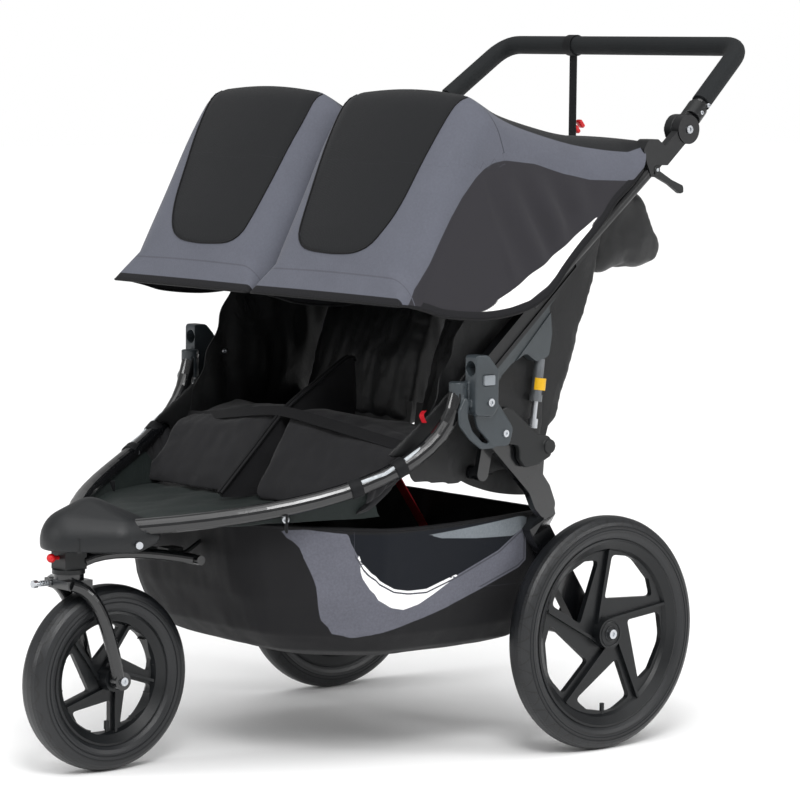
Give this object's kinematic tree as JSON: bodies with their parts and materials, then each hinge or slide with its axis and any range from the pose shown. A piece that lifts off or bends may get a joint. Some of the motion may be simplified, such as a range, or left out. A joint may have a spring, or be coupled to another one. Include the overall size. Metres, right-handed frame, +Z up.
{
  "type": "jogging stroller",
  "caption": "Side-by-side two-seat jogging stroller with three air-tyred wheels, folding frame, sprung rear arms, swivelling fork, canopies, basket and height-adjustable handlebar.",
  "frame": {"origin": "middle of the whole object's box at floor level, under the seats", "axes": "+Z up, -Y towards the front wheel, +X towards the stroller's own left side"},
  "size_m": [0.799, 1.3158, 1.2141],
  "materials": {
    "basket_fabric": "matte",
    "button_grey": "satin",
    "canopy_fabric": "matte",
    "casting_grey": "satin",
    "foam": "matte",
    "footwell_fabric": "matte",
    "frame_black": "gloss",
    "plastic_black": "satin",
    "plastic_red": "gloss",
    "seat_fabric": "matte",
    "steel": "satin",
    "tyre_rubber": "matte",
    "webbing_black": "matte",
    "webbing_red": "matte",
    "wheel_black": "satin"
  },
  "bodies": {
    "lower_frame": {"frame_tube_left": "frame_black", "frame_tube_right": "frame_black", "hub_left": "casting_grey", "hub_right": "casting_grey", "under_seat_bar": "frame_black", "nose_cover": "plastic_black", "head_block": "plastic_black", "front_brace": "frame_black", "brace_clamp": "steel", "frame_bolts": "steel", "seat_left": "seat_fabric", "seat_right": "seat_fabric", "seat_divider": "seat_fabric", "footwell": "footwell_fabric", "side_panel_left": "seat_fabric", "side_panel_right": "seat_fabric", "basket": "basket_fabric", "fold_strap": "webbing_red", "harness": "webbing_black"},
    "swivel_lock_knob": {"swivel_lock_knob": "plastic_red"},
    "accessory_button_left": {"accessory_button_left": "button_grey"},
    "accessory_button_right": {"accessory_button_right": "button_grey"},
    "upper_frame": {"upper_frame_left": "casting_grey", "upper_frame_right": "casting_grey", "rear_crossbar": "frame_black", "shock_body_left": "casting_grey", "shock_body_right": "casting_grey", "handle_pins": "steel"},
    "seat_back_left": {"seat_back_left": "seat_fabric", "rear_pocket_left": "seat_fabric"},
    "seat_back_right": {"seat_back_right": "seat_fabric", "rear_pocket_right": "seat_fabric"},
    "canopy_left": {"canopy_left": "canopy_fabric"},
    "canopy_right": {"canopy_right": "canopy_fabric"},
    "release_lever_left": {"release_lever_left": "plastic_black"},
    "release_lever_right": {"release_lever_right": "plastic_black"},
    "shock_rod_left": {"shock_rod_left": "steel"},
    "shock_rod_right": {"shock_rod_right": "steel"},
    "handlebar": {"handle_tube": "frame_black", "foam_grip": "foam", "handle_knuckles": "plastic_black", "wrist_strap": "webbing_black"},
    "rear_rocker": {"rocker_left": "frame_black", "rocker_right": "frame_black"},
    "rear_arm": {"swing_arm_left": "frame_black", "swing_arm_right": "frame_black", "rear_axle_tube": "frame_black", "spindle_left": "steel", "spindle_right": "steel", "brake_bracket": "plastic_black"},
    "brake_pedal": {"brake_pedal": "plastic_black"},
    "rear_wheel_left": {"rear_tyre_left": "tyre_rubber", "rear_rim_left": "wheel_black"},
    "rear_wheel_right": {"rear_tyre_right": "tyre_rubber", "rear_rim_right": "wheel_black"},
    "fork": {"fork": "frame_black", "front_axle": "steel"},
    "tracking_screw": {"tracking_screw": "steel"},
    "front_wheel": {"front_tyre": "tyre_rubber", "front_rim": "wheel_black"}
  },
  "joints": [
    {"name": "fork_swivel", "type": "hinge", "parent": "lower_frame", "child": "fork", "pos_m": [0, -0.57586, 0.356], "axis": [0, 0, 1], "continuous": true},
    {"name": "front_wheel_spin", "type": "hinge", "parent": "fork", "child": "front_wheel", "pos_m": [0, -0.50386, 0.154], "axis": [1, 0, 0], "continuous": true},
    {"name": "tracking_screw_turn", "type": "hinge", "parent": "fork", "child": "tracking_screw", "pos_m": [-0.018, -0.60586, 0.317], "axis": [0, 1, 0], "continuous": true},
    {"name": "swivel_lock_pull", "type": "slide", "parent": "lower_frame", "child": "swivel_lock_knob", "axis": [0, -1, 0], "range_m": [0, 0.006], "stiffness_N_per_m": 400, "springref_m": -0.006},
    {"name": "accessory_button_left_press", "type": "slide", "parent": "lower_frame", "child": "accessory_button_left", "axis": [-1, 0, 0], "range_m": [0, 0.002], "stiffness_N_per_m": 500, "springref_m": -0.002},
    {"name": "accessory_button_right_press", "type": "slide", "parent": "lower_frame", "child": "accessory_button_right", "axis": [1, 0, 0], "range_m": [0, 0.002], "stiffness_N_per_m": 500, "springref_m": -0.002},
    {"name": "handle_fold", "type": "hinge", "parent": "lower_frame", "child": "upper_frame", "pos_m": [0, -0.01686, 0.612], "axis": [1, 0, 0], "range_deg": [0, 140], "deforming": ["canopy_left", "canopy_right", "seat_back_left", "seat_back_right", "rear_pocket_left", "rear_pocket_right", "side_panel_left", "side_panel_right", "seat_divider", "wrist_strap"]},
    {"name": "seat_recline_left", "type": "hinge", "parent": "upper_frame", "child": "seat_back_left", "pos_m": [0.16, 0.16014, 0.53], "axis": [1, 0, 0], "range_deg": [-18, 0]},
    {"name": "seat_recline_right", "type": "hinge", "parent": "upper_frame", "child": "seat_back_right", "pos_m": [-0.16, 0.16014, 0.53], "axis": [1, 0, 0], "range_deg": [-18, 0]},
    {"name": "canopy_left_tilt", "type": "hinge", "parent": "upper_frame", "child": "canopy_left", "pos_m": [0.187, 0.24614, 0.905], "axis": [1, 0, 0], "range_deg": [-20, 0]},
    {"name": "canopy_right_tilt", "type": "hinge", "parent": "upper_frame", "child": "canopy_right", "pos_m": [-0.187, 0.24614, 0.905], "axis": [1, 0, 0], "range_deg": [-20, 0]},
    {"name": "release_lever_left_squeeze", "type": "hinge", "parent": "upper_frame", "child": "release_lever_left", "pos_m": [0.353, 0.38614, 0.984], "axis": [1, 0, 0], "range_deg": [0, 12], "stiffness_Nm_per_rad": 1.5, "springref_deg": -2.86},
    {"name": "release_lever_right_squeeze", "type": "hinge", "parent": "upper_frame", "child": "release_lever_right", "pos_m": [-0.353, 0.38614, 0.984], "axis": [1, 0, 0], "range_deg": [0, 12], "stiffness_Nm_per_rad": 1.5, "springref_deg": -2.86},
    {"name": "shock_left_compress", "type": "slide", "parent": "upper_frame", "child": "shock_rod_left", "axis": [0, 0.1251, 0.9921], "range_m": [0, 0.0115]},
    {"name": "shock_right_compress", "type": "slide", "parent": "upper_frame", "child": "shock_rod_right", "axis": [0, 0.1251, 0.9921], "range_m": [0, 0.0115]},
    {"name": "handle_tilt", "type": "hinge", "parent": "upper_frame", "child": "handlebar", "pos_m": [0, 0.45914, 1.052], "axis": [1, 0, 0], "range_deg": [-102, 0], "deforming": ["wrist_strap"]},
    {"name": "rear_fold", "type": "hinge", "parent": "lower_frame", "child": "rear_rocker", "pos_m": [0, 0.02314, 0.558], "axis": [1, 0, 0], "range_deg": [-46, 0]},
    {"name": "suspension", "type": "hinge", "parent": "rear_rocker", "child": "rear_arm", "pos_m": [0, 0.02314, 0.558], "axis": [1, 0, 0], "range_deg": [0, 6], "stiffness_Nm_per_rad": 600, "springref_deg": -6.88},
    {"name": "brake_press", "type": "hinge", "parent": "rear_arm", "child": "brake_pedal", "pos_m": [0.293, 0.28214, 0.23], "axis": [1, 0, 0], "range_deg": [-18, 0]},
    {"name": "rear_wheel_left_spin", "type": "hinge", "parent": "rear_arm", "child": "rear_wheel_left", "pos_m": [0.364, 0.27014, 0.2], "axis": [1, 0, 0], "continuous": true},
    {"name": "rear_wheel_right_spin", "type": "hinge", "parent": "rear_arm", "child": "rear_wheel_right", "pos_m": [-0.364, 0.27014, 0.2], "axis": [1, 0, 0], "continuous": true}
  ],
  "couplings": [
    {"joint": "shock_left_compress", "follows": "suspension", "m_per_rad": 0.10542},
    {"joint": "shock_right_compress", "follows": "suspension", "m_per_rad": 0.10542}
  ]
}
